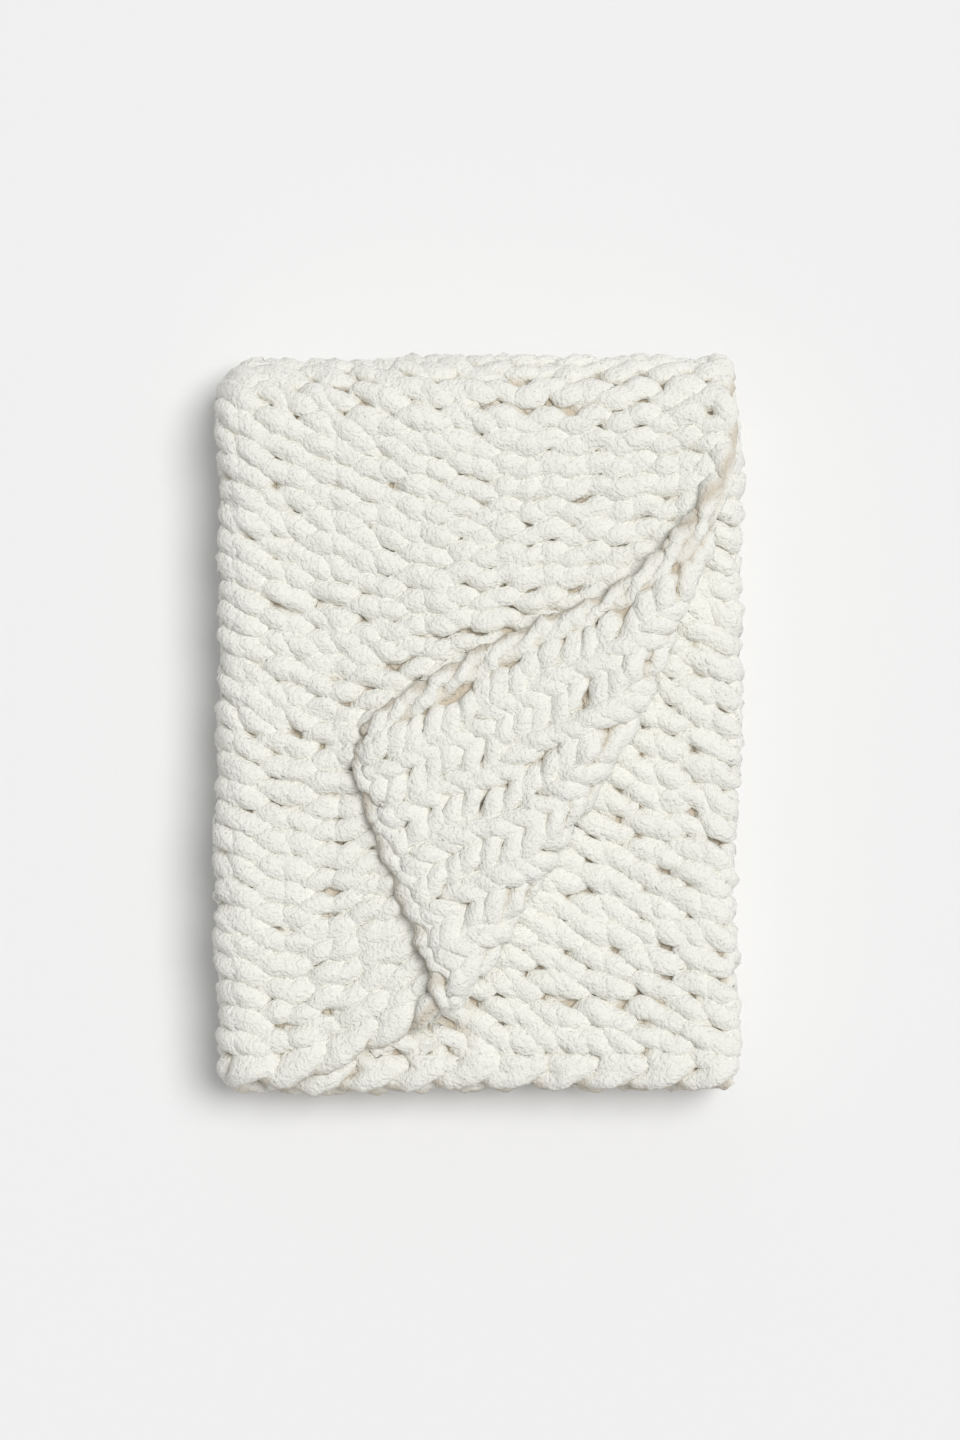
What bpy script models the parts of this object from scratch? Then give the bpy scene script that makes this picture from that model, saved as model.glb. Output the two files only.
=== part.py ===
"""A chunky knit blanket, folded and laid flat, with one corner turned back.

The blanket is a single knitted panel. It is folded in thirds across its width, first the
right third and then the left third over the middle one, and then in half along its length,
with the fold at the far end (+Y). The thirds end up on the outside of that last fold, so the
stack has six layers. The lower right corner of the top layer is turned back over a soft roll.

The cloth is worked out as a thin middle surface, column by column across the panel and row
by row along it, and Solidify gives it its thickness. Metres, +Z up, resting on Z = 0.
"""

import math

import bpy
import numpy as np

# ------------------------------------------------------------------ the folded packet
PACKET_WIDTH = 0.463
PACKET_LENGTH = 0.642
CLOTH_THICKNESS = 0.015
LAYER_PITCH = 0.0185  # from the middle of one layer to the middle of the next
END_STEP = 0.003  # how much further back each layer ends than the one inside it
UNDER_EDGE_X = -0.196  # the free edge of the right third, hidden under the left third

HALF_WIDTH = PACKET_WIDTH / 2
HALF_LENGTH = PACKET_LENGTH / 2

# ------------------------------------------------------------------ the levels of the thirds
MIDDLE_LEVEL = 0
UNDER_LEVEL = 1
TOP_LEVEL = 2
INNER_RADIUS = LAYER_PITCH / 2  # the half fold, at the middle third
OUTER_RADIUS = INNER_RADIUS + TOP_LEVEL * LAYER_PITCH
RIGHT_RADIUS = LAYER_PITCH * (UNDER_LEVEL - MIDDLE_LEVEL) / 2
LEFT_RADIUS = LAYER_PITCH * (TOP_LEVEL - MIDDLE_LEVEL) / 2

RIGHT_FOLD_X = HALF_WIDTH - CLOTH_THICKNESS / 2 - RIGHT_RADIUS
LEFT_FOLD_X = -HALF_WIDTH + CLOTH_THICKNESS / 2 + LEFT_RADIUS
HALF_FOLD_Y = HALF_LENGTH - CLOTH_THICKNESS / 2 - OUTER_RADIUS
PARTING_Z = CLOTH_THICKNESS / 2 + OUTER_RADIUS

# ------------------------------------------------------------------ the top third's own outline
SELVEDGE_X = 0.222  # where its side edge lies near the half fold
SELVEDGE_BULGE = 0.036  # how far that edge swings out towards the corner
BULGE_FROM_Y = 0.13
BULGE_OVER = 0.22
EDGE_RISE = 0.050  # how far its end edge has ridden up beside the side fold
EDGE_RISE_OVER = 0.38  # the share of its width over which it does so
CORNER_LIFT = 0.028  # how much further up its corner lies
CORNER_ROUNDING = 0.065

# ------------------------------------------------------------------ the turned-back corner
CREASE_CENTRE = (-1.426, 0.772)  # the crease is an arc about this point
CREASE_RADIUS = 1.718  # where the top layer starts to roll
ROLL_RADIUS = 0.0135
SIDE_ROLL_RADIUS = 0.0120  # where the roll runs out at the side edge
TAPER_FROM = math.radians(-24.0)  # directions from the crease's centre
TAPER_OVER = math.radians(6.5)
HOOK_IN = 0.014  # how far the crease bends in at the end edge
HOOK_FROM = math.radians(-35.2)
HOOK_OVER = math.radians(-2.2)
SETTLE_OVER = 0.045  # how soon the flap comes down behind the roll

# ------------------------------------------------------------------ the packet's corners
#            side X  side Y  radius
CORNERS = (
    (-1, 1, 0.036),
    (1, 1, 0.018),
    (-1, -1, 0.020),
    (1, -1, 0.014),
)

# ------------------------------------------------------------------ unevenness
#          along X  along Y  phase  height of the swell
SWELLS = (
    (2.1, 0.9, 0.4, 0.020),
    (-1.3, 2.6, 2.1, 0.016),
    (3.9, -3.1, 4.0, 0.012),
)
#          waves a metre  phase  sway of the sides  sway of the ends
SWAYS = (
    (1.9, 0.3, 0.0022, 0.0016),
    (4.3, 2.0, 0.0013, 0.0012),
)

# ------------------------------------------------------------------ how finely it is divided
UNDER_CELLS = 7
RIGHT_TURN_CELLS = 5
MIDDLE_CELLS = 7
LEFT_TURN_CELLS = 6
TOP_CELLS_BEFORE_ROLL = 8
ROLL_CELLS = 7
TOP_CELLS_AFTER_ROLL = 6
LAST_ROLL_START = 0.90  # shares of the top third's width, on rows that the crease misses
LAST_ROLL_END = 0.97
UPPER_CELLS = 22
HALF_TURN_CELLS = 8
LOWER_CELLS = 12

YARN_COLOUR = (0.86, 0.85, 0.80, 1.0)
YARN_ROUGHNESS = 0.95


def smooth_step(share):
    """0 up to 0, 1 from 1 on, and an S curve between."""
    share = np.clip(share, 0.0, 1.0)
    return share * share * (3.0 - 2.0 * share)


def columns_across():
    """x and level of each column, from the right third's free edge to the left fold's end."""
    right_turn = np.linspace(math.pi / 2, -math.pi / 2, RIGHT_TURN_CELLS + 1)[1:-1]
    left_turn = np.linspace(-math.pi / 2, math.pi / 2, LEFT_TURN_CELLS + 1)[1:]
    under_x = np.linspace(UNDER_EDGE_X, RIGHT_FOLD_X, UNDER_CELLS + 1)
    middle_x = np.linspace(RIGHT_FOLD_X, LEFT_FOLD_X, MIDDLE_CELLS + 1)
    right_level = (UNDER_LEVEL + MIDDLE_LEVEL) / 2
    left_level = (TOP_LEVEL + MIDDLE_LEVEL) / 2
    x = (
        under_x,
        RIGHT_FOLD_X + RIGHT_RADIUS * np.cos(right_turn),
        middle_x,
        LEFT_FOLD_X - LEFT_RADIUS * np.cos(left_turn),
    )
    level = (
        np.full(len(under_x), float(UNDER_LEVEL)),
        right_level + right_level * np.sin(right_turn),
        np.full(len(middle_x), float(MIDDLE_LEVEL)),
        left_level + left_level * np.sin(left_turn),
    )
    return np.concatenate(x), np.concatenate(level)


def end_y(level):
    """Where a layer at this level ends, at its bind-off edge."""
    return -HALF_LENGTH + END_STEP * level


def half_fold(level, end, place):
    """y and z of a point of the half fold.

    place runs from 0 at the upper free end to 1 where the turn starts, to 2 where it ends,
    and to 3 at the lower free end. A layer at a higher level turns round a larger radius.
    """
    radius = INNER_RADIUS + level * LAYER_PITCH
    turn = np.clip(place - 1.0, 0.0, 1.0) * math.pi
    upper = np.clip(1.0 - place, 0.0, 1.0)
    lower = np.clip(place - 2.0, 0.0, 1.0)
    y = HALF_FOLD_Y + radius * np.sin(turn) + (end - HALF_FOLD_Y) * (upper + lower)
    z = PARTING_Z + radius * np.cos(turn)
    return y, z


def top_outline(across, along):
    """x and y of a point of the flat top third above the half fold.

    across is 0 at the left fold and 1 at the side edge; along is 0 at the end edge and 1 at
    the half fold. The side edge swings out and the end edge rides up towards the corner,
    which is rounded as a square turns into a disc.
    """
    rise = EDGE_RISE * smooth_step(across / EDGE_RISE_OVER) + CORNER_LIFT * across**2
    end = end_y(TOP_LEVEL) + rise
    y = end + (HALF_FOLD_Y - end) * along
    edge = SELVEDGE_X + SELVEDGE_BULGE * smooth_step((BULGE_FROM_Y - y) / BULGE_OVER)
    x = LEFT_FOLD_X + (edge - LEFT_FOLD_X) * across
    near_edge = np.clip(1.0 - (edge - x) / CORNER_ROUNDING, 0.0, 1.0)
    near_end = np.clip(1.0 - (y - end) / CORNER_ROUNDING, 0.0, 1.0)
    x = x - CORNER_ROUNDING * near_edge * (1.0 - np.sqrt(1.0 - near_end**2 / 2.0))
    y = y + CORNER_ROUNDING * near_end * (1.0 - np.sqrt(1.0 - near_edge**2 / 2.0))
    return x, y


def crease_at(x, y):
    """Seen from the crease's centre: a point's distance, the roll's start and its radius."""
    away_x = x - CREASE_CENTRE[0]
    away_y = y - CREASE_CENTRE[1]
    direction = np.arctan2(away_y, away_x)
    start = CREASE_RADIUS - HOOK_IN * smooth_step((direction - HOOK_FROM) / HOOK_OVER)
    taper = smooth_step((direction - TAPER_FROM) / TAPER_OVER)
    radius = ROLL_RADIUS + (SIDE_ROLL_RADIUS - ROLL_RADIUS) * taper
    return np.hypot(away_x, away_y), start, radius


def top_shares(along):
    """Shares of the top third's width for one row, with ROLL_CELLS of them inside the roll."""
    fine = np.linspace(0.0, 1.0, 401)
    distance, roll_start, radius = crease_at(*top_outline(fine, along))
    turned = np.maximum.accumulate((distance - roll_start) / radius)
    start = min(np.interp(0.0, turned, fine), LAST_ROLL_START)
    end = min(np.interp(math.pi, turned, fine), LAST_ROLL_END)
    before = np.linspace(0.0, start, TOP_CELLS_BEFORE_ROLL + 1)[1:]
    inside = np.linspace(start, end, ROLL_CELLS + 1)[1:]
    after = np.linspace(end, 1.0, TOP_CELLS_AFTER_ROLL + 1)[1:]
    return np.concatenate((before, inside, after))


def turn_back(x, y):
    """The flat top third with its corner turned back: new x and y, and the height it gains.

    A point keeps its direction from the crease's centre. Its distance past the crease goes
    half way round a roll first, and the rest of it lies back over the layer it came from.
    """
    distance, start, radius = crease_at(x, y)
    past = distance - start
    turn = np.clip(past / radius, 0.0, math.pi)
    lying = np.maximum(past - math.pi * radius, 0.0)
    reach = start + np.minimum(past, 0.0) + radius * np.sin(turn) - lying
    scale = reach / distance
    settled = (2.0 * radius - LAYER_PITCH) * (1.0 - np.exp(-lying / SETTLE_OVER))
    height = radius * (1.0 - np.cos(turn)) - settled
    new_x = CREASE_CENTRE[0] + (x - CREASE_CENTRE[0]) * scale
    new_y = CREASE_CENTRE[1] + (y - CREASE_CENTRE[1]) * scale
    return new_x, new_y, height


def round_corners(x, y):
    """The packet's own corners, each rounded as a square turns into a disc."""
    for side_x, side_y, radius in CORNERS:
        near_x = np.clip((side_x * x - HALF_WIDTH + radius) / radius, 0.0, 1.0)
        near_y = np.clip((side_y * y - HALF_LENGTH + radius) / radius, 0.0, 1.0)
        shift_x = side_x * radius * near_x * (1.0 - np.sqrt(1.0 - near_y**2 / 2.0))
        shift_y = side_y * radius * near_y * (1.0 - np.sqrt(1.0 - near_x**2 / 2.0))
        x = x - shift_x
        y = y - shift_y
    return x, y


def make_uneven(x, y, z):
    """Soft swells that grow with the height over the flat underside, and swaying edges."""
    above = z - CLOTH_THICKNESS / 2
    swell = sum(
        height * np.sin(2.0 * math.pi * (wave_x * x + wave_y * y) + phase)
        for wave_x, wave_y, phase, height in SWELLS
    )
    side_sway = sum(
        side * np.sin(2.0 * math.pi * wave * y + phase) for wave, phase, side, _ in SWAYS
    )
    end_sway = sum(
        end * np.sin(2.0 * math.pi * wave * x + phase) for wave, phase, _, end in SWAYS
    )
    return x + side_sway, y + end_sway, z + above * swell


def middle_surface():
    """x, y and z of the cloth's middle, one array row for each row across the panel."""
    fixed_x, fixed_level = columns_across()
    places = np.concatenate(
        (
            np.linspace(0.0, 1.0, UPPER_CELLS + 1),
            np.linspace(1.0, 2.0, HALF_TURN_CELLS + 1)[1:],
            np.linspace(2.0, 3.0, LOWER_CELLS + 1)[1:],
        )
    )
    rows = []
    for place in places:
        fixed_y, fixed_z = half_fold(fixed_level, end_y(fixed_level), place)
        shares = top_shares(min(place, 1.0))
        top_y, top_z = half_fold(TOP_LEVEL, end_y(TOP_LEVEL), place)
        if place <= 1.0:
            flat_x, flat_y = top_outline(shares, place)
            top_x, top_y, gained = turn_back(flat_x, flat_y)
            top_z = top_z + gained
        else:
            top_x = LEFT_FOLD_X + (SELVEDGE_X - LEFT_FOLD_X) * shares
            top_y = np.full(len(shares), top_y)
            top_z = np.full(len(shares), top_z)
        rows.append(
            (
                np.concatenate((fixed_x, top_x)),
                np.concatenate((fixed_y, top_y)),
                np.concatenate((fixed_z, top_z)),
            )
        )
    x, y, z = (np.stack(part) for part in zip(*rows))
    x, y = round_corners(x, y)
    return make_uneven(x, y, z)


def grid_faces(rows, columns):
    """The four corners of each cell of a grid, wound so that the thirds' outside faces out."""
    first = np.arange(rows * columns).reshape(rows, columns)
    corners = (first[:-1, :-1], first[1:, :-1], first[1:, 1:], first[:-1, 1:])
    return np.stack([corner.ravel() for corner in corners], axis=1)


def yarn_material():
    """Soft off-white chenille yarn."""
    material = bpy.data.materials.new("chenille_yarn")
    material.use_nodes = True
    shader = material.node_tree.nodes["Principled BSDF"]
    shader.inputs["Base Color"].default_value = YARN_COLOUR
    shader.inputs["Roughness"].default_value = YARN_ROUGHNESS
    shader.inputs["Metallic"].default_value = 0.0
    return material


def build_blanket(collection):
    """The one knitted panel, as a shell on its folded middle surface."""
    x, y, z = middle_surface()
    x = x - (x.min() + x.max()) / 2
    y = y - (y.min() + y.max()) / 2
    points = np.stack((x.ravel(), y.ravel(), z.ravel()), axis=1)
    mesh = bpy.data.meshes.new("knit_blanket")
    mesh.from_pydata(points.tolist(), [], grid_faces(*x.shape).tolist())
    mesh.shade_smooth()
    mesh.materials.append(yarn_material())
    blanket = bpy.data.objects.new("knit_blanket", mesh)
    collection.objects.link(blanket)
    shell = blanket.modifiers.new("cloth thickness", "SOLIDIFY")
    shell.thickness = CLOTH_THICKNESS
    shell.offset = 0.0
    shell.use_even_offset = True
    return blanket


def main():
    for old in list(bpy.data.objects):
        bpy.data.objects.remove(old, do_unlink=True)
    collection = bpy.data.collections.new("chunky_knit_blanket")
    bpy.context.scene.collection.children.link(collection)
    build_blanket(collection)


main()
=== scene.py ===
"""A chunky knit blanket of chenille yarn, folded in thirds and then in half.

The blanket is made as it is knitted: each course is one strand of yarn whose loops hook
through the courses beside it, and it follows the folded panel from side edge to side edge.
Edge chains finish the panel, and a thin ground sheet, coloured all over in painted shade, closes
it between the loops.
Metres, +Z up, resting on Z = 0.
"""

import logging
import math
from dataclasses import dataclass, field
from enum import Enum

import bpy
import numpy as np
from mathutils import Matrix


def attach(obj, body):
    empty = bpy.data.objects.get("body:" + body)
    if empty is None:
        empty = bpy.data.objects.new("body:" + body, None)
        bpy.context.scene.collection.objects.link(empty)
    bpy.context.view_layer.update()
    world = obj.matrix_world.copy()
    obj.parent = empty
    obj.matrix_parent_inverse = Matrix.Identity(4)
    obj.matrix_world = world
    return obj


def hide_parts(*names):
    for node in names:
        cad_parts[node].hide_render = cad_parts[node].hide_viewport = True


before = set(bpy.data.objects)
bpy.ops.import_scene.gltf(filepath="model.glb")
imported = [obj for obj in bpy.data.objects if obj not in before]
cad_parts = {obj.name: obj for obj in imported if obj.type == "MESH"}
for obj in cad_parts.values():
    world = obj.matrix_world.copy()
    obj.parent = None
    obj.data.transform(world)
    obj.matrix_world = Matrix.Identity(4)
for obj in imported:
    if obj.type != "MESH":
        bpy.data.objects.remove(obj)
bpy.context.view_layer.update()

LOG = logging.getLogger("knit_blanket")
SOLID = "knit_blanket"
BODY = "root"

Array = np.ndarray

# multipliers that scatter a lattice corner's numbers, and the bits that are kept
HASH_AXES = (73856093, 19349663, 83492791)
HASH_SEED = 7919
HASH_MIX = (2246822519, 3266489917)
LOW_32_BITS = 0xFFFFFFFF
LOW_16_BITS = 0xFFFF


class Third(Enum):
    """The thirds of the panel, by the level at which each lies in the packet."""

    MIDDLE = 0
    UNDER = 1
    TOP = 2


class Grain(Enum):
    """Which lattice of random values each unevenness of the knit takes."""

    LUMP = 3
    TUFT = 5
    DRIFT = 11
    LIFT = 12
    SWAY = 13
    GIRTH = 21
    CHAIN = 22


# ------------------------------------------------------------------ small shapes
def smooth_step(share: Array) -> Array:
    """0 up to 0, 1 from 1 on, and the S curve 3s^2 - 2s^3 between."""
    share = np.clip(share, 0.0, 1.0)
    return share * share * (3.0 - 2.0 * share)


def lattice_noise(points: Array, cell: float, grain: Grain) -> Array:
    """Soft random lumps between -1 and 1.

    A random value sits at each corner of a cubic lattice, and a point takes the mean of its
    cell's eight corners, weighted by the S curve of its place between them.

    Args:
        points: Places, with x, y and z along the last axis.
        cell: The lattice's spacing, in the points' own unit.
        grain: Which lattice of random values.

    Returns:
        One value for each point.
    """
    scaled = points / cell
    base = np.floor(scaled).astype(np.int64)
    part = smooth_step(scaled - base)
    total = np.zeros(points.shape[:-1])
    for corner in np.ndindex(2, 2, 2):
        node = base + np.array(corner)
        by_axis = node * np.array(HASH_AXES)
        mixed = by_axis[..., 0] ^ by_axis[..., 1] ^ by_axis[..., 2]
        mixed = (mixed + grain.value * HASH_SEED) & LOW_32_BITS
        mixed = (mixed ^ (mixed >> 15)) * HASH_MIX[0] & LOW_32_BITS
        mixed = (mixed ^ (mixed >> 13)) * HASH_MIX[1] & LOW_32_BITS
        value = 2.0 * ((mixed ^ (mixed >> 16)) & LOW_16_BITS) / LOW_16_BITS - 1.0
        weight = np.prod(np.where(np.array(corner) == 1, part, 1.0 - part), axis=-1)
        total += weight * value
    return total


def unit(vectors: Array) -> Array:
    """Each vector divided by its own length."""
    return vectors / np.maximum(np.linalg.norm(vectors, axis=-1, keepdims=True), 1e-12)


# ------------------------------------------------------------------ the folded panel
@dataclass(frozen=True)
class FoldedPanel:
    """The panel's middle surface, as a function of the stitch and the course.

    Across the panel the stitches run from the right third's hidden edge, round the right
    fold, back under, round the left fold and over the top. Along it the courses run from
    the upper free end to the half fold, round it, and back underneath.
    """

    width: float = 0.452
    length: float = 0.630
    cloth: float = 0.015
    pitch: float = 0.0185
    end_step: float = 0.003
    under_edge_x: float = -0.196
    selvedge_x: float = 0.222
    selvedge_bulge: float = 0.036
    bulge_from_y: float = 0.13
    bulge_over: float = 0.22
    edge_rise: float = 0.050
    edge_rise_over: float = 0.38
    corner_lift: float = 0.028
    corner_rounding: float = 0.065
    crease_centre: tuple[float, float] = (-1.426, 0.772)
    crease_radius: float = 1.718
    roll_radius: float = 0.0135
    side_roll_radius: float = 0.0120
    taper_from: float = math.radians(-24.0)
    taper_over: float = math.radians(6.5)
    hook_in: float = 0.014
    hook_from: float = math.radians(-35.2)
    hook_over: float = math.radians(-2.2)
    settle_over: float = 0.045
    # side X, side Y, radius
    corners: tuple = ((-1, 1, 0.036), (1, 1, 0.018), (-1, -1, 0.020), (1, -1, 0.014))
    # waves along X and Y, phase, height
    swells: tuple = (
        (2.1, 0.9, 0.4, 0.020),
        (-1.3, 2.6, 2.1, 0.016),
        (3.9, -3.1, 4.0, 0.012),
    )
    # waves a metre, phase, sway of the sides and of the ends
    sways: tuple = ((1.9, 0.3, 0.0022, 0.0016), (4.3, 2.0, 0.0013, 0.0012))
    # how much flatter the packet lies towards the left fold
    left_press: float = 0.11
    press_from_x: float = -0.02
    press_over: float = 0.20
    # stitches: under third, right fold, middle third, left fold, top third
    stitch_counts: tuple = (9.5, 0.7, 10.9, 1.4, 10.5)
    # courses above, round and below the half fold, for each third
    upper_courses: tuple = (24.5, 25.5, 26.5)
    turn_courses: tuple = (4.0, 1.4, 6.3)
    courses: float = 57.0
    # points across and along from which the packet's middle is worked out
    centre_grid: tuple[int, int] = (166, 286)
    # stitches or courses either way from which a normal is worked out
    normal_step: float = 0.06

    @property
    def stitches(self) -> float:
        """How many stitches there are across the panel."""
        return sum(self.stitch_counts)

    @property
    def top_from(self) -> float:
        """The stitch at which the top third starts."""
        return self.stitches - self.stitch_counts[-1]

    @property
    def outer_radius(self) -> float:
        """Radius of the half fold at the top third."""
        return self.pitch / 2 + Third.TOP.value * self.pitch

    @property
    def half_fold_y(self) -> float:
        """Where the half fold starts to turn."""
        return self.length / 2 - self.cloth / 2 - self.outer_radius

    @property
    def parting_z(self) -> float:
        """The height between the upper and the lower half of the packet."""
        return self.cloth / 2 + self.outer_radius

    @property
    def left_fold_x(self) -> float:
        """Where the left fold starts to turn."""
        return -self.width / 2 + self.cloth / 2 + self.pitch

    @property
    def right_fold_x(self) -> float:
        """Where the right fold starts to turn."""
        return self.width / 2 - self.cloth / 2 - self.pitch / 2

    def across(self, stitch: Array) -> tuple[Array, Array]:
        """x and level at a stitch, without the top third's own outline.

        Straight thirds alternate with half circles: the right fold's radius is half a
        layer's pitch, and the left fold's a whole one.

        Args:
            stitch: Stitch numbers across the panel.

        Returns:
            x, and the level, which is 0, 1 or 2 in the thirds.
        """
        knots = np.concatenate(([0.0], np.cumsum(self.stitch_counts)))
        shares = [
            (stitch - start) / (end - start) for start, end in zip(knots[:-1], knots[1:])
        ]
        under, right, middle, left, top = shares
        right_turn = math.pi * np.clip(right, 0.0, 1.0)
        left_turn = math.pi * np.clip(left, 0.0, 1.0)
        right_x, left_x = self.right_fold_x, self.left_fold_x
        x = np.select(
            [stitch <= knots[1], stitch <= knots[2], stitch <= knots[3], stitch <= knots[4]],
            [
                self.under_edge_x + (right_x - self.under_edge_x) * under,
                right_x + self.pitch / 2 * np.sin(right_turn),
                right_x + (left_x - right_x) * middle,
                left_x - self.pitch * np.sin(left_turn),
            ],
            left_x + (self.selvedge_x - left_x) * top,
        )
        level = np.where(
            stitch <= knots[2], 0.5 + 0.5 * np.cos(right_turn), 1.0 - np.cos(left_turn)
        )
        return x, level

    def place(self, stitch: Array, course: Array) -> Array:
        """Where a course lies along the fold.

        0 is the upper free end, 1 the start of the half fold's turn, 2 its end and 3 the
        lower free end, each stretch holding its own number of courses.

        Args:
            stitch: Stitch numbers across the panel.
            course: Course numbers, of the same shape.

        Returns:
            The place of each, from 0 to 3.
        """
        knots = np.cumsum(self.stitch_counts)
        over = (knots[0], knots[1], knots[2], knots[3])
        order = (0, 1, 1, 2)
        upper = np.interp(stitch, over, [self.upper_courses[third] for third in order])
        turn = np.interp(stitch, over, [self.turn_courses[third] for third in order])
        lower = self.courses - upper - turn
        past_upper = course - upper
        return np.where(
            past_upper <= 0.0,
            course / upper,
            1.0 + np.clip(past_upper / turn, 0.0, 1.0)
            + np.maximum(past_upper - turn, 0.0) / lower,
        )

    def half_fold(self, level: Array, place: Array) -> tuple[Array, Array]:
        """y and z at a place along the fold: straight, half a circle, and straight back.

        Args:
            level: 0, 1 or 2 in the thirds, and between them in the folds.
            place: Places along the fold, from 0 to 3.

        Returns:
            y and z of each.
        """
        radius = self.pitch / 2 + level * self.pitch
        end = -self.length / 2 + self.end_step * level
        turn = np.clip(place - 1.0, 0.0, 1.0) * math.pi
        straight = np.maximum(1.0 - place, 0.0) + np.maximum(place - 2.0, 0.0)
        y = self.half_fold_y + radius * np.sin(turn) + (end - self.half_fold_y) * straight
        return y, self.parting_z + radius * np.cos(turn)

    def top_outline(self, across: Array, along: Array) -> tuple[Array, Array]:
        """x and y of the flat top third, whose end edge rides up and side edge swings out.

        Its corner is rounded as a square turns into a disc.

        Args:
            across: Shares of the way from the left fold to the side edge.
            along: Shares of the way from the end edge to the half fold.

        Returns:
            x and y of each.
        """
        rise = self.edge_rise * smooth_step(across / self.edge_rise_over)
        end = -self.length / 2 + self.end_step * Third.TOP.value
        end = end + rise + self.corner_lift * across**2
        y = end + (self.half_fold_y - end) * along
        bulge = smooth_step((self.bulge_from_y - y) / self.bulge_over)
        edge = self.selvedge_x + self.selvedge_bulge * bulge
        x = self.left_fold_x + (edge - self.left_fold_x) * across
        near_edge = np.clip(1.0 - (edge - x) / self.corner_rounding, 0.0, 1.0)
        near_end = np.clip(1.0 - (y - end) / self.corner_rounding, 0.0, 1.0)
        x = x - self.corner_rounding * near_edge * (1.0 - np.sqrt(1.0 - near_end**2 / 2.0))
        y = y + self.corner_rounding * near_end * (1.0 - np.sqrt(1.0 - near_edge**2 / 2.0))
        return x, y

    def turn_back(self, x: Array, y: Array) -> tuple[Array, Array, Array]:
        """The corner turned back over a roll.

        A point keeps its direction from the crease's centre. Past the crease its distance
        goes half way round a roll, and the rest lies back over the cloth it came from.

        Args:
            x: x of points of the flat top third.
            y: Their y.

        Returns:
            New x and y, and the height gained.
        """
        away_x = x - self.crease_centre[0]
        away_y = y - self.crease_centre[1]
        direction = np.arctan2(away_y, away_x)
        distance = np.hypot(away_x, away_y)
        hook = self.hook_in * smooth_step((direction - self.hook_from) / self.hook_over)
        start = self.crease_radius - hook
        taper = smooth_step((direction - self.taper_from) / self.taper_over)
        radius = self.roll_radius + (self.side_roll_radius - self.roll_radius) * taper
        past = distance - start
        turn = np.clip(past / radius, 0.0, math.pi)
        lying = np.maximum(past - math.pi * radius, 0.0)
        reach = start + np.minimum(past, 0.0) + radius * np.sin(turn) - lying
        scale = reach / distance
        settled = (2.0 * radius - self.pitch) * (1.0 - np.exp(-lying / self.settle_over))
        height = radius * (1.0 - np.cos(turn)) - settled
        new_x = self.crease_centre[0] + away_x * scale
        new_y = self.crease_centre[1] + away_y * scale
        return new_x, new_y, height

    def past_crease(self, stitch: Array, course: Array) -> Array:
        """How far a place of the flat top third lies past the crease, negative before it.

        Args:
            stitch: Stitch numbers across the panel.
            course: Course numbers, of the same shape.

        Returns:
            A distance in metres for each.
        """
        share = (stitch - self.top_from) / self.stitch_counts[-1]
        place = np.minimum(self.place(stitch, course), 1.0)
        x, y = self.top_outline(np.clip(share, 0.0, None), place)
        away = np.hypot(x - self.crease_centre[0], y - self.crease_centre[1])
        return away - self.crease_radius

    def settle(self, x: Array, y: Array, z: Array) -> tuple[Array, Array, Array]:
        """Rounds the packet's corners, and adds soft swells and swaying edges.

        A corner is rounded as a square turns into a disc, and each swell and sway is a sine.

        Args:
            x: x of points of the packet.
            y: Their y.
            z: Their z.

        Returns:
            New x, y and z.
        """
        for side_x, side_y, radius in self.corners:
            near_x = np.clip((side_x * x - self.width / 2 + radius) / radius, 0.0, 1.0)
            near_y = np.clip((side_y * y - self.length / 2 + radius) / radius, 0.0, 1.0)
            shift_x = side_x * radius * near_x * (1.0 - np.sqrt(1.0 - near_y**2 / 2.0))
            shift_y = side_y * radius * near_y * (1.0 - np.sqrt(1.0 - near_x**2 / 2.0))
            x = x - shift_x
            y = y - shift_y
        turn = 2.0 * math.pi
        swell = sum(
            height * np.sin(turn * (wave_x * x + wave_y * y) + phase)
            for wave_x, wave_y, phase, height in self.swells
        )
        side = sum(sway * np.sin(turn * wave * y + phase) for wave, phase, sway, _ in self.sways)
        end = sum(sway * np.sin(turn * wave * x + phase) for wave, phase, _, sway in self.sways)
        pressed = self.left_press * smooth_step((self.press_from_x - x) / self.press_over)
        return x + side, y + end, z + (z - self.cloth / 2) * (swell - pressed)

    def uncentred(self, stitch: Array, course: Array) -> Array:
        """The middle surface before it is centred on the packet.

        Args:
            stitch: Stitch numbers, of any shape.
            course: Course numbers, of the same shape.

        Returns:
            Points, with x, y and z along a new last axis.
        """
        x, level = self.across(stitch)
        place = self.place(stitch, course)
        y, z = self.half_fold(level, place)
        share = (stitch - self.top_from) / self.stitch_counts[-1]
        flat_x, flat_y = self.top_outline(np.clip(share, 0.0, None), np.minimum(place, 1.0))
        top_x, top_y, gained = self.turn_back(flat_x, flat_y)
        on_top = (share > 0.0) & (place <= 1.0)
        x = np.where(on_top, top_x, x)
        y = np.where(on_top, top_y, y)
        z = np.where(on_top, z + gained, z)
        return np.stack(self.settle(x, y, z), axis=-1)

    def centre(self) -> Array:
        """The middle of the packet's box.

        Returns:
            Its x and y, and 0 for z.
        """
        across, along = self.centre_grid
        stitch = np.linspace(0.0, self.stitches, across)
        course = np.linspace(0.0, self.courses, along)
        grid = np.meshgrid(stitch, course)
        points = self.uncentred(*grid).reshape(-1, 3)
        middle = (points.min(axis=0) + points.max(axis=0)) / 2.0
        return middle * np.array((1.0, 1.0, 0.0))

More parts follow.
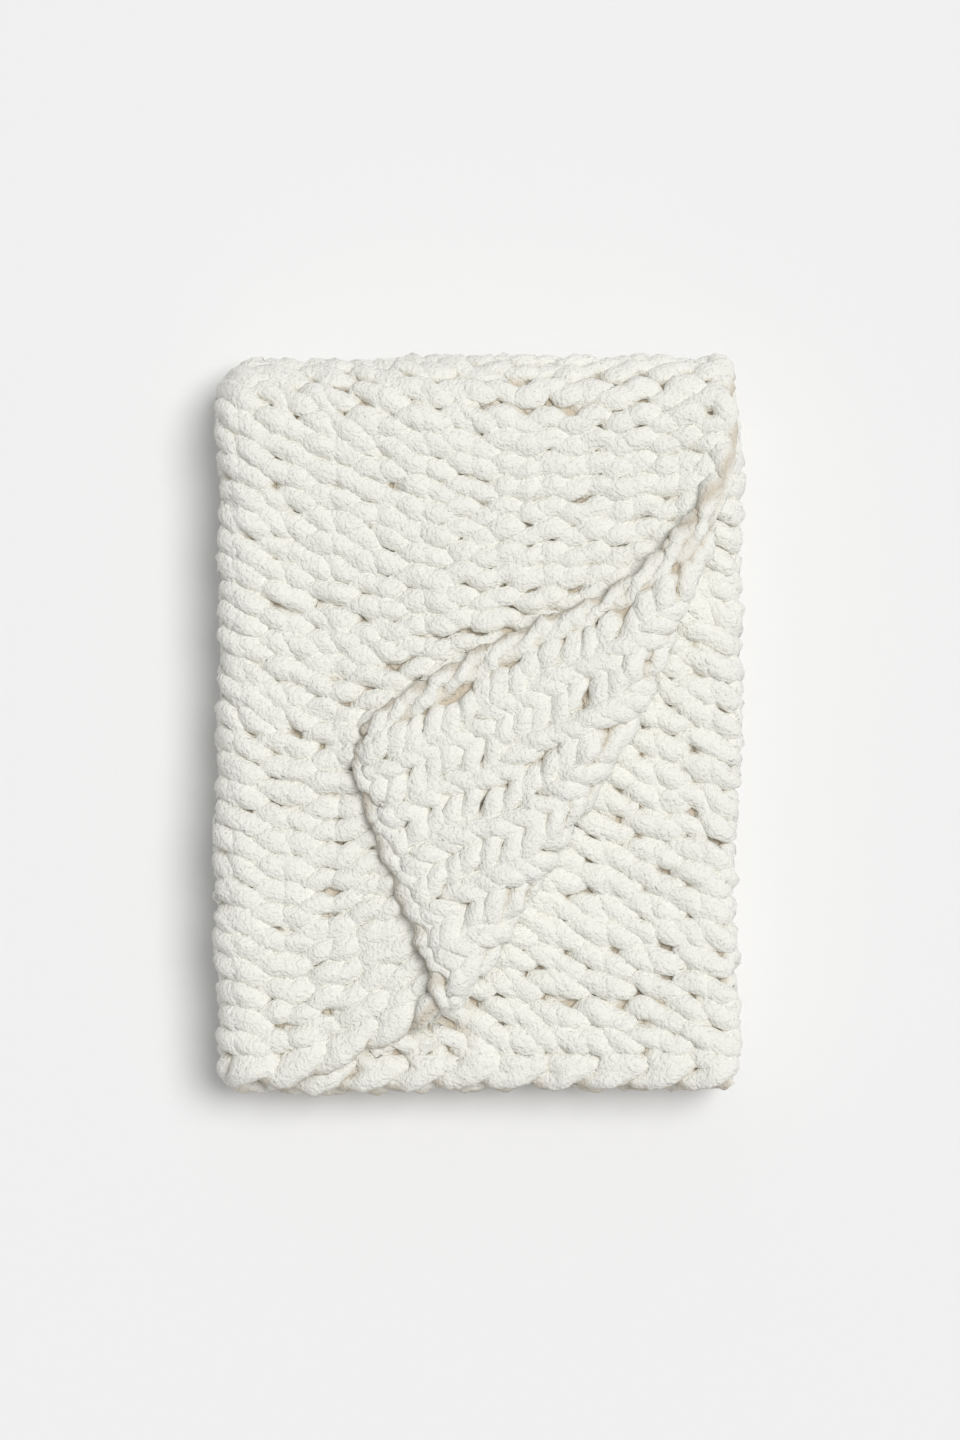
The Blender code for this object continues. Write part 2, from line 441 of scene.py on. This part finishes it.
    def surface(self, stitch: Array, course: Array) -> tuple[Array, Array]:
        """Points of the middle surface and its outward unit normals.

        The normal is the cross product of the steps to the next stitch and to the next
        course, taken over a small distance both ways.

        Args:
            stitch: Stitch numbers, of any shape.
            course: Course numbers, of the same shape.

        Returns:
            Points and normals, with x, y and z along a new last axis.
        """
        step = self.normal_step
        points = self.uncentred(stitch, course) - self.centre()
        over = self.uncentred(stitch + step, course) - self.uncentred(stitch - step, course)
        up = self.uncentred(stitch, course + step) - self.uncentred(stitch, course - step)
        return points, unit(np.cross(over, up))


PANEL = FoldedPanel()


# ------------------------------------------------------------------ finishes
@dataclass(frozen=True)
class Chenille:
    """Warm white chenille: soft pile with fine tufts, and painted shade, a darker and warmer
    tone, where the yarn lies near the cloth's middle.

    The bump is a soft noise for the tufts, less a share of how far the nearest of many
    scattered points is, which gives each tuft its own round top.
    """

    name: str = "chenille"
    pale: tuple = (0.875, 0.867, 0.805, 1.0)
    # painted shade: the darker, warmer tone mixed in where the yarn lies near the cloth's middle,
    # in the recesses between loops
    shade_tone: tuple = (0.63, 0.56, 0.45, 1.0)
    roughness: float = 0.95
    specular: float = 0.15
    sheen: float = 0.25
    sheen_roughness: float = 0.6
    tuft_scale: float = 260.0
    tuft_detail: float = 2.0
    fluff_scale: float = 420.0
    fluff_share: float = -0.4
    bump_distance: float = 0.0023

    def material(self) -> bpy.types.Material:
        """The yarn's material: two sizes of tuft in the bump, and the yarn's tone mixed towards a
        painted shade tone in the recesses.

        Returns:
            The material.
        """
        material = bpy.data.materials.new(self.name)
        material.use_nodes = True
        nodes, links = material.node_tree.nodes, material.node_tree.links
        shader = nodes["Principled BSDF"]
        shader.inputs["Roughness"].default_value = self.roughness
        shader.inputs["Specular IOR Level"].default_value = self.specular
        shader.inputs["Sheen Weight"].default_value = self.sheen
        shader.inputs["Sheen Roughness"].default_value = self.sheen_roughness
        coordinates = nodes.new("ShaderNodeTexCoord")
        tufts = nodes.new("ShaderNodeTexNoise")
        tufts.inputs["Scale"].default_value = self.tuft_scale
        tufts.inputs["Detail"].default_value = self.tuft_detail
        fluff = nodes.new("ShaderNodeTexVoronoi")
        fluff.feature = "SMOOTH_F1"
        fluff.inputs["Scale"].default_value = self.fluff_scale
        for texture in (tufts, fluff):
            links.new(coordinates.outputs["Object"], texture.inputs["Vector"])
        both = nodes.new("ShaderNodeMath")
        both.operation = "MULTIPLY_ADD"
        both.inputs[1].default_value = self.fluff_share
        links.new(fluff.outputs["Distance"], both.inputs[0])
        links.new(tufts.outputs["Fac"], both.inputs[2])
        bump = nodes.new("ShaderNodeBump")
        bump.inputs["Strength"].default_value = 1.0
        bump.inputs["Distance"].default_value = self.bump_distance
        links.new(both.outputs["Value"], bump.inputs["Height"])
        links.new(bump.outputs["Normal"], shader.inputs["Normal"])
        # painted shade: each corner's share of the shade tone, stored on the mesh, mixes the
        # yarn's tone towards it
        painted_shade = nodes.new("ShaderNodeAttribute")
        painted_shade.attribute_name = "painted_shade"
        tone = nodes.new("ShaderNodeMix")
        tone.data_type = "RGBA"
        tone.inputs["A"].default_value = self.pale
        tone.inputs["B"].default_value = self.shade_tone
        links.new(painted_shade.outputs["Fac"], tone.inputs["Factor"])
        links.new(tone.outputs["Result"], shader.inputs["Base Color"])
        return material


@dataclass(frozen=True)
class Paper:
    """Plain pale studio paper."""

    tone: float = 0.86

    def material(self) -> bpy.types.Material:
        """A matt material of one pale tone.

        Returns:
            The material.
        """
        material = bpy.data.materials.new("studio_paper")
        material.use_nodes = True
        shader = material.node_tree.nodes["Principled BSDF"]
        shader.inputs["Base Color"].default_value = (self.tone, self.tone, self.tone, 1.0)
        shader.inputs["Roughness"].default_value = 1.0
        shader.inputs["Specular IOR Level"].default_value = 0.0
        return material


# ------------------------------------------------------------------ meshes
def make_piece(name: str, points: Array, quads: Array, triangles: Array, painted_shade: Array,
               material: bpy.types.Material) -> bpy.types.Object:
    """Puts arrays into a mesh and hangs the piece on the blanket's body.

    Args:
        name: The piece's name.
        points: Its corners, one row each.
        quads: Rows of four corner numbers.
        triangles: Rows of three corner numbers.
        painted_shade: The share of painted shade at each corner, from 0 to 1: more where the yarn
            lies near the cloth's middle.
        material: Its finish.

    Returns:
        The piece's object, at the origin.
    """
    mesh = bpy.data.meshes.new(name)
    mesh.vertices.add(len(points))
    mesh.vertices.foreach_set("co", points.astype(np.float32).ravel())
    corners = np.concatenate((quads.ravel(), triangles.ravel())).astype(np.int32)
    totals = np.concatenate((np.full(len(quads), 4), np.full(len(triangles), 3)))
    starts = np.concatenate(([0], np.cumsum(totals)[:-1])).astype(np.int32)
    mesh.loops.add(len(corners))
    mesh.loops.foreach_set("vertex_index", corners)
    mesh.polygons.add(len(totals))
    mesh.polygons.foreach_set("loop_start", starts)
    mesh.update(calc_edges=True)
    mesh.validate()
    mesh.shade_smooth()
    layer = mesh.attributes.new("painted_shade", "FLOAT", "POINT")
    layer.data.foreach_set("value", painted_shade.astype(np.float32).ravel())
    mesh.materials.append(material)
    piece = bpy.data.objects.new(name, mesh)
    bpy.context.scene.collection.objects.link(piece)
    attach(piece, BODY)
    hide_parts(SOLID)
    return piece


def strand_faces(strands: int, rings: int, sides: int) -> tuple[Array, Array]:
    """Faces of closed strands whose corners are numbered strand by strand, ring by ring.

    Each ring joins the next by quads, and a fan of triangles at each end meets in a point.
    The end points are numbered after all the rings, the starts first and then the ends.

    Args:
        strands: How many strands there are.
        rings: Rings in each.
        sides: Corners in each ring.

    Returns:
        Quads and triangles.
    """
    number = np.arange(strands * rings * sides).reshape(strands, rings, sides)
    turned = np.roll(number, -1, axis=2)
    quads = np.stack((number[:, :-1], number[:, 1:], turned[:, 1:], turned[:, :-1]), axis=-1)
    first = strands * rings * sides + np.arange(strands)[:, None] + np.zeros(sides, int)
    last = first + strands
    starts = np.stack((first, number[:, 0], turned[:, 0]), axis=-1)
    ends = np.stack((last, turned[:, -1], number[:, -1]), axis=-1)
    return quads.reshape(-1, 4), np.concatenate((starts, ends)).reshape(-1, 3)


def sheet_faces(along: int, across: int) -> Array:
    """Faces of a closed thin sheet: its outer side, its inner side and its rim.

    The outer side's corners are numbered row by row, and the inner side's follow them.

    Args:
        along: Corners along the sheet.
        across: Corners across it.

    Returns:
        Quads.
    """
    inner_from = along * across
    number = np.arange(inner_from).reshape(along, across)
    outer = np.stack((number[:-1, :-1], number[:-1, 1:], number[1:, 1:], number[1:, :-1]), -1)
    inner = outer[..., ::-1] + inner_from
    rim = np.concatenate((number[0, :-1], number[:-1, -1], number[-1, :0:-1], number[:0:-1, 0]))
    following = np.roll(rim, -1)
    wall = np.stack((rim, rim + inner_from, following + inner_from, following), axis=-1)
    return np.concatenate((outer.reshape(-1, 4), inner.reshape(-1, 4), wall))


@dataclass(frozen=True)
class Yarn:
    """A strand of chenille yarn, wider than it is thick, and lumpy."""

    half_width: float = 0.0091
    half_height: float = 0.0080
    lump: float = 0.0029
    lump_cell: float = 0.0105
    tuft: float = 0.0021
    tuft_cell: float = 0.0045

    def strands(self, path: Array, normal: Array, girth: Array, sides: int) -> Array:
        """Corners of the rings round some paths.

        A ring is an ellipse with its long way across the path and its short way along the
        cloth's normal, swollen by lumps, and it narrows towards both ends of the path.

        Args:
            path: Centre lines, indexed by strand, ring and x, y, z.
            normal: The cloth's normal at each point of them.
            girth: How many times its usual size the yarn is there.
            sides: Corners in a ring.

        Returns:
            Corners indexed by strand, ring, side and x, y, z.
        """
        along = unit(np.gradient(path, axis=1))
        up = unit(normal - np.sum(normal * along, axis=-1, keepdims=True) * along)
        across = np.cross(along, up)
        angle = np.linspace(0.0, 2.0 * math.pi, sides, endpoint=False)
        wide = self.half_width * np.cos(angle)
        high = self.half_height * np.sin(angle)
        outward = across[:, :, None] * wide[:, None] + up[:, :, None] * high[:, None]
        rings = path[:, :, None] + outward * girth[..., None, None]
        lumps = self.lump * lattice_noise(rings, self.lump_cell, Grain.LUMP)
        lumps = lumps + self.tuft * lattice_noise(rings, self.tuft_cell, Grain.TUFT)
        return rings + unit(outward) * lumps[..., None]


@dataclass(frozen=True)
class Loops:
    """The path of one course: a row of loops leaning in the cloth.

    For a turn t each stitch, the strand swings back and forth across by sin 2t, reaches up
    and down by cos t, leans by sin 2t, and stands off the cloth by cos 2t, so that the
    heads and feet of the loops lie outside and their legs inside. On the flap, past the
    crease, where the legs show, the loops swing wider, lean less and stand further off.
    Lengths along the cloth are in stitches and courses. Heights, and distances from the
    crease, are in metres.
    """

    swing: float = 0.223
    reach: float = 1.17
    lean: float = 0.29
    stand: float = 0.0050
    puff: float = 0.19
    wander: float = 0.15
    heave: float = 0.0014
    sway: float = 0.35
    # spacing of the unevenness, in stitches and courses
    drift_cell: float = 1.3
    lift_cell: float = 1.1
    sway_cell: float = 0.9
    first_edge: float = 0.35
    edge_softness: float = 0.22
    # where the loops stop leaning: over the top third, at its end and beside the flap
    upright_before_top: float = 1.5
    upright_top_over: float = 5.0
    upright_end_from: float = 4.0
    upright_end_over: float = 13.0
    upright_end_share: float = 0.85
    upright_before_crease: float = 0.225
    upright_crease_over: float = 0.09
    upright_crease_share: float = 1.4
    crease_over: float = 0.02
    flap_plumpness: float = -0.04
    flap_puff: float = 0.12
    flap_wander: float = 0.22
    flap_stand: float = 0.0060
    flap_swing: float = 0.275
    flap_lean: float = 0.12

    def path(self, number: Array, turns: Array) -> tuple[Array, Array, Array]:
        """Stitch, course and height over the middle surface along some courses.

        Args:
            number: The courses' own places along the panel.
            turns: The places along a course, in stitches.

        Returns:
            Three arrays indexed by course and place.
        """
        course = number[:, None]
        angle = 2.0 * math.pi * turns[None, :]
        where = np.stack(np.broadcast_arrays(turns[None, :], course, 0.0 * angle), axis=-1)
        drift = lattice_noise(where, self.drift_cell, Grain.DRIFT)
        lift = lattice_noise(where, self.lift_cell, Grain.LIFT)
        sway = lattice_noise(where, self.sway_cell, Grain.SWAY)
        past = PANEL.past_crease(turns[None, :] + 0.0 * course, course)
        back = smooth_step(past / self.crease_over) * (turns[None, :] > PANEL.top_from)
        wander = self.wander + (self.flap_wander - self.wander) * back
        swing = self.swing + (self.flap_swing - self.swing) * back
        stitch = turns[None, :] + swing * np.sin(2 * angle) + wander * drift
        lean = self.lean + (self.flap_lean - self.lean) * back
        lean = lean * self.leaning(turns[None, :], course) * (1.0 + self.sway * sway)
        along = course + self.reach * np.cos(angle) - lean * np.sin(2 * angle)
        along = self.kept_inside(along + wander * lift)
        stand = self.stand + (self.flap_stand - self.stand) * back
        return stitch, along, stand * np.cos(2 * angle) + self.heave * lift

    def leaning(self, stitch: Array, course: Array) -> Array:
        """The share of the full lean: little at the top third's end and beside its flap.

        Each of the two is an S curve over its own distance, and the larger one counts.

        Args:
            stitch: Stitch numbers across the panel.
            course: Course numbers along it.

        Returns:
            A share for each, from -0.4, which leans a little the other way, to 1.
        """
        before_top = PANEL.top_from - self.upright_before_top
        on_top = smooth_step((stitch - before_top) / self.upright_top_over)
        near_end = 1.0 - smooth_step((course - self.upright_end_from) / self.upright_end_over)
        past = PANEL.past_crease(stitch, course)
        beside_flap = smooth_step((past + self.upright_before_crease) / self.upright_crease_over)
        upright = np.maximum(
            self.upright_end_share * near_end, self.upright_crease_share * beside_flap
        )
        return 1.0 - on_top * (past < 0.0) * upright

    def plumpness(self, stitch: Array, course: Array, turns: Array) -> Array:
        """How plump the yarn is: heads and feet swell, but past the crease the legs do.

        The swelling is a cosine of two turns a stitch.

        Args:
            stitch: The places along a course, in stitches.
            course: Their courses.
            turns: The places along a course before they drift.

        Returns:
            The share to add to the yarn's usual size.
        """
        swell = np.cos(4.0 * math.pi * turns)[None, :]
        legs = self.flap_plumpness - self.flap_puff * swell
        return np.where(self.turned_back(stitch, course), legs, self.puff * swell)

    def turned_back(self, stitch: Array, course: Array) -> Array:
        """Whether places lie past the crease of the top third."""
        return (stitch > PANEL.top_from) & (PANEL.past_crease(stitch, course) > 0.0)

    def kept_inside(self, course: Array) -> Array:
        """Courses with their loops pressed flat, softly, against both end edges.

        The logarithm of 1 plus an exponential bends each place into the edge's own course.

        Args:
            course: Course numbers along the panel.

        Returns:
            Course numbers that stay inside both edges.
        """
        soft, first, last = self.edge_softness, self.first_edge, PANEL.courses - self.first_edge
        course = first + soft * np.logaddexp(0.0, (course - first) / soft)
        return last - soft * np.logaddexp(0.0, (last - course) / soft)


# ------------------------------------------------------------------ the blanket
@dataclass(frozen=True)
class CourseGroup:
    """Neighbouring courses made as one piece, and how finely their yarn is drawn.

    It holds the courses from first up to, but without, end. shown and hidden are the rings
    in a stitch where the cloth shows and where it doesn't, and sides a ring's corners.
    """

    name: str
    first: int
    end: int
    shown: int
    hidden: int
    sides: int


COURSE_GROUPS = (
    CourseGroup("courses_near", first=0, end=8, shown=28, hidden=7, sides=16),
    CourseGroup("courses_low", first=8, end=16, shown=28, hidden=7, sides=16),
    CourseGroup("courses_high", first=16, end=24, shown=28, hidden=7, sides=16),
    CourseGroup("courses_at_fold", first=24, end=32, shown=28, hidden=7, sides=16),
    CourseGroup("courses_below_far", first=32, end=44, shown=15, hidden=12, sides=10),
    CourseGroup("courses_below_near", first=44, end=57, shown=15, hidden=12, sides=10),
)


@dataclass(frozen=True)
class EdgeTwist:
    """Two strands twisted along an edge, one half a turn behind the other.

    inset is the edge's place inside the panel, margin how far short of its ends the
    strands stop, spread how far they go sideways, and twist the angle in each stitch or
    course. Girths are times the yarn's own size, and stand and uneven_cell are in metres.
    """

    inset: float
    margin: float
    spread: float
    twist: float
    rings: int = 420
    sides: int = 10
    stand: float = 0.0045
    girth: float = 1.02
    knob: float = 0.29
    unevenness: float = 0.1
    uneven_cell: float = 0.03


@dataclass
class Blanket:
    """The knitted blanket: its courses of loops, its edge chains and its ground sheet, coloured
    in painted shade.
    """

    panel: FoldedPanel = PANEL
    yarn: Yarn = field(default_factory=Yarn)
    loops: Loops = field(default_factory=Loops)
    finish: Chenille = field(default_factory=Chenille)
    end_chain: EdgeTwist = EdgeTwist(inset=0.15, margin=0.15, spread=0.33, twist=math.pi)
    side_edge: EdgeTwist = EdgeTwist(inset=0.2, margin=0.3, spread=0.12, twist=0.5 * math.pi)
    course_count: int = 57
    edge_margin: float = 0.30
    # painted shade: yarn nearer to the middle surface than this is darkened towards the shade
    # tone
    painted_shade_under: float = 0.0085
    first_turn: float = 0.35
    last_turn: float = 32.65
    # stitches where the courses come into view, go under, and come into view again
    view_changes: tuple[float, float, float] = (4.5, 10.2, 20.9)
    girth_unevenness: float = 0.13
    girth_cell: float = 0.7
    strand_end_girth: float = 0.5
    ground_grid: tuple[int, int] = (150, 110)
    ground_half: float = 0.0012
    ground_margin: float = 0.15
    ground_clearance: float = 0.0005
    ground_flat: tuple[float, float] = (1.35, 1.27)
    pieces: list = field(default_factory=list)

    def knit(self) -> None:
        """Builds every piece of the blanket."""
        material = self.finish.material()
        numbers = np.linspace(
            self.edge_margin, self.panel.courses - self.edge_margin, self.course_count
        )
        for group in COURSE_GROUPS:
            self.add_courses(group, numbers[group.first:group.end], material)
        self.add_edges(material)
        self.add_ground(material)

    def turns(self, shown: int, hidden: int) -> Array:
        """Places along a course, closer together where the courses show.

        Args:
            shown: Places in a stitch where the courses show.
            hidden: Places in a stitch where they don't.

        Returns:
            The places, in stitches.
        """
        edges = (self.first_turn, *self.view_changes, self.last_turn)
        counts = (hidden, shown, hidden, shown)
        parts = [
            np.linspace(start, end, int(round((end - start) * count)), endpoint=False)
            for start, end, count in zip(edges[:-1], edges[1:], counts)
        ]
        return np.concatenate(parts + [[self.last_turn]])

    def add_courses(self, group: CourseGroup, numbers: Array,
                    material: bpy.types.Material) -> None:
        """Adds one piece of several courses.

        Args:
            group: Which courses, and how fine.
            numbers: The courses' places along the panel.
            material: The yarn's finish.
        """
        turns = self.turns(group.shown, group.hidden)
        stitch, along, height = self.loops.path(numbers, turns)
        points, normal = self.panel.surface(stitch, along)
        path = points + normal * height[..., None]
        place = np.stack((stitch, along, 0.0 * along), axis=-1)
        girth = 1.0 + self.loops.plumpness(stitch, along, turns)
        uneven = lattice_noise(place, self.girth_cell, Grain.GIRTH)
        girth = girth + self.girth_unevenness * uneven
        girth[:, [0, -1]] = self.strand_end_girth
        rings = self.yarn.strands(path, normal, girth, group.sides)
        self.add_strands(group.name, path, rings, normal, points, material)

    def add_strands(self, name: str, path: Array, rings: Array, normal: Array, middle: Array,
                    material: bpy.types.Material) -> None:
        """Closes rings into strands and adds them as a piece, flat where they meet the floor.

        Args:
            name: The piece's name.
            path: The strands' centre lines, indexed by strand, ring and x, y, z.
            rings: Their corners, indexed by strand, ring, side and x, y, z.
            normal: The cloth's normal at each point of the paths.
            middle: The cloth's middle surface at each point of them.
            material: The yarn's finish.
        """
        strands, count, sides = rings.shape[:3]
        ends = np.concatenate((path[:, 0], path[:, -1]))
        points = np.concatenate((rings.reshape(-1, 3), ends))
        points[:, 2] = np.maximum(points[:, 2], 0.0)
        quads, triangles = strand_faces(strands, count, sides)
        # painted shade: corners near the middle surface, and the strands' end points, take the
        # shade tone
        outward = np.sum((rings - middle[:, :, None]) * normal[:, :, None], axis=-1)
        recess_shade_share = 1.0 - smooth_step(np.abs(outward) / self.painted_shade_under)
        painted_shade = np.concatenate((recess_shade_share.ravel(), np.ones(2 * strands)))
        piece = make_piece(name, points, quads, triangles, painted_shade, material)
        self.pieces.append(piece)
        LOG.info("%s: %d strands, %d triangles", name, strands, 2 * len(quads) + len(triangles))

    def add_edges(self, material: bpy.types.Material) -> None:
        """Adds the two end chains and the two side edges, each of two strands twisted.

        An edge's strands sway over it by a cosine of their angle, starting outwards.

        Args:
            material: The yarn's finish.
        """
        stitches, courses = self.panel.stitches, self.panel.courses
        chain, side = self.end_chain, self.side_edge
        along, angle = self.twisted(chain, stitches)
        sway = chain.spread * np.cos(angle)
        self.add_edge("chain_near", chain, along, chain.inset - sway, angle, material)
        self.add_edge("chain_far", chain, along, courses - chain.inset + sway, angle, material)
        along, angle = self.twisted(side, courses)
        sway = side.spread * np.cos(angle)
        self.add_edge("side_edge_hidden", side, side.inset - sway, along, angle, material)
        self.add_edge("side_edge_top", side, stitches - side.inset + sway, along, angle, material)

    def twisted(self, edge: EdgeTwist, length: float) -> tuple[Array, Array]:
        """Places along an edge and how far its two strands have turned there.

        Args:
            edge: The kind of edge.
            length: The edge's length, in stitches or courses.

        Returns:
            Places and angles, indexed by strand and place.
        """
        along = np.linspace(edge.margin, length - edge.margin, edge.rings)[None, :]
        angle = edge.twist * along + np.array([[0.0], [math.pi]])
        return along + 0.0 * angle, angle

    def add_edge(self, name: str, edge: EdgeTwist, stitch: Array, course: Array, angle: Array,
                 material: bpy.types.Material) -> None:
        """Adds one edge of two strands, which pass over each other as the angle turns.

        Their height and their girth go up and down by the sine of the angle.

        Args:
            name: The piece's name.
            edge: The kind of edge.
            stitch: Stitch numbers, indexed by strand and place.
            course: Course numbers, of the same shape.
            angle: How far each strand has turned there.
            material: The yarn's finish.
        """
        points, normal = self.panel.surface(stitch, course)
        height = edge.stand * np.sin(angle)
        path = points + normal * height[..., None]
        uneven = lattice_noise(path, edge.uneven_cell, Grain.CHAIN)
        girth = edge.girth + edge.knob * np.sin(angle) + edge.unevenness * uneven
        girth[:, [0, -1]] = self.strand_end_girth
        rings = self.yarn.strands(path, normal, girth, edge.sides)
        self.add_strands(name, path, rings, normal, points, material)

    def add_ground(self, material: bpy.types.Material) -> None:
        """Adds a thin closed sheet on the folds between the loops, coloured all over in painted
        shade.

        Its two sides lie off the middle surface by half its thickness, along the normal.

        Args:
            material: The yarn's finish.
        """
        along, across = self.ground_grid
        margin = self.ground_margin
        stitch = np.linspace(margin, self.panel.stitches - margin, across)
        course = np.linspace(margin, self.panel.courses - margin, along)
        points, normal = self.panel.surface(*np.meshgrid(stitch, course))
        outer = points + self.ground_half * normal
        inner = points - self.ground_half * normal
        both = np.concatenate((outer.reshape(-1, 3), inner.reshape(-1, 3)))
        both[:, 2] = np.maximum(both[:, 2], self.ground_clearance)
        quads = sheet_faces(along, across)
        no_triangles = np.zeros((0, 3), int)
        # painted shade: every corner of the sheet takes the full shade tone
        piece = make_piece("ground", both, quads, no_triangles, np.ones(len(both)), material)
        self.pieces.append(piece)
        LOG.info("ground: %d triangles", 2 * len(quads))


# ------------------------------------------------------------------ the studio
@dataclass(frozen=True)
class Studio:
    """A pale floor, a soft key light from the upper right, and a camera straight above."""

    floor_size: float = 12.0
    camera_height: float = 4.30
    lens: float = 120.0
    camera_y: float = 0.0049
    sun_strength: float = 2.1
    sun_width: float = math.radians(30.0)
    sun_tilt: tuple[float, float, float] = (math.radians(-11.0), math.radians(20.0), 0.0)
    sky_tone: tuple[float, float, float, float] = (1.0, 1.0, 1.0, 1.0)
    sky_strength: float = 0.40

    def build(self) -> None:
        """Makes the floor, the lights and the camera."""
        half = self.floor_size / 2.0
        mesh = bpy.data.meshes.new("floor")
        corners = [(-half, -half, 0.0), (half, -half, 0.0), (half, half, 0.0), (-half, half, 0.0)]
        mesh.from_pydata(corners, [], [(0, 1, 2, 3)])
        mesh.materials.append(Paper().material())
        floor = bpy.data.objects.new("floor", mesh)
        bpy.context.scene.collection.objects.link(floor)
        self.light()
        lens = bpy.data.cameras.new("camera")
        lens.lens = self.lens
        camera = bpy.data.objects.new("camera", lens)
        camera.location = (0.0, self.camera_y, self.camera_height)
        bpy.context.scene.collection.objects.link(camera)
        bpy.context.scene.camera = camera

    def light(self) -> None:
        """A wide soft sun from the upper right, and an even pale sky."""
        key = bpy.data.lights.new("key", "SUN")
        key.energy = self.sun_strength
        key.angle = self.sun_width
        lamp = bpy.data.objects.new("key", key)
        lamp.rotation_euler = self.sun_tilt
        bpy.context.scene.collection.objects.link(lamp)
        world = bpy.data.worlds.new("sky")
        world.use_nodes = True
        background = world.node_tree.nodes["Background"]
        background.inputs["Color"].default_value = self.sky_tone
        background.inputs["Strength"].default_value = self.sky_strength
        bpy.context.scene.world = world
        bpy.context.scene.view_settings.view_transform = "Standard"


def main() -> None:
    """Builds the blanket and the studio."""
    logging.basicConfig(level=logging.INFO, format="%(name)s: %(message)s")
    Blanket().knit()
    Studio().build()


if __name__ == "__main__":
    main()
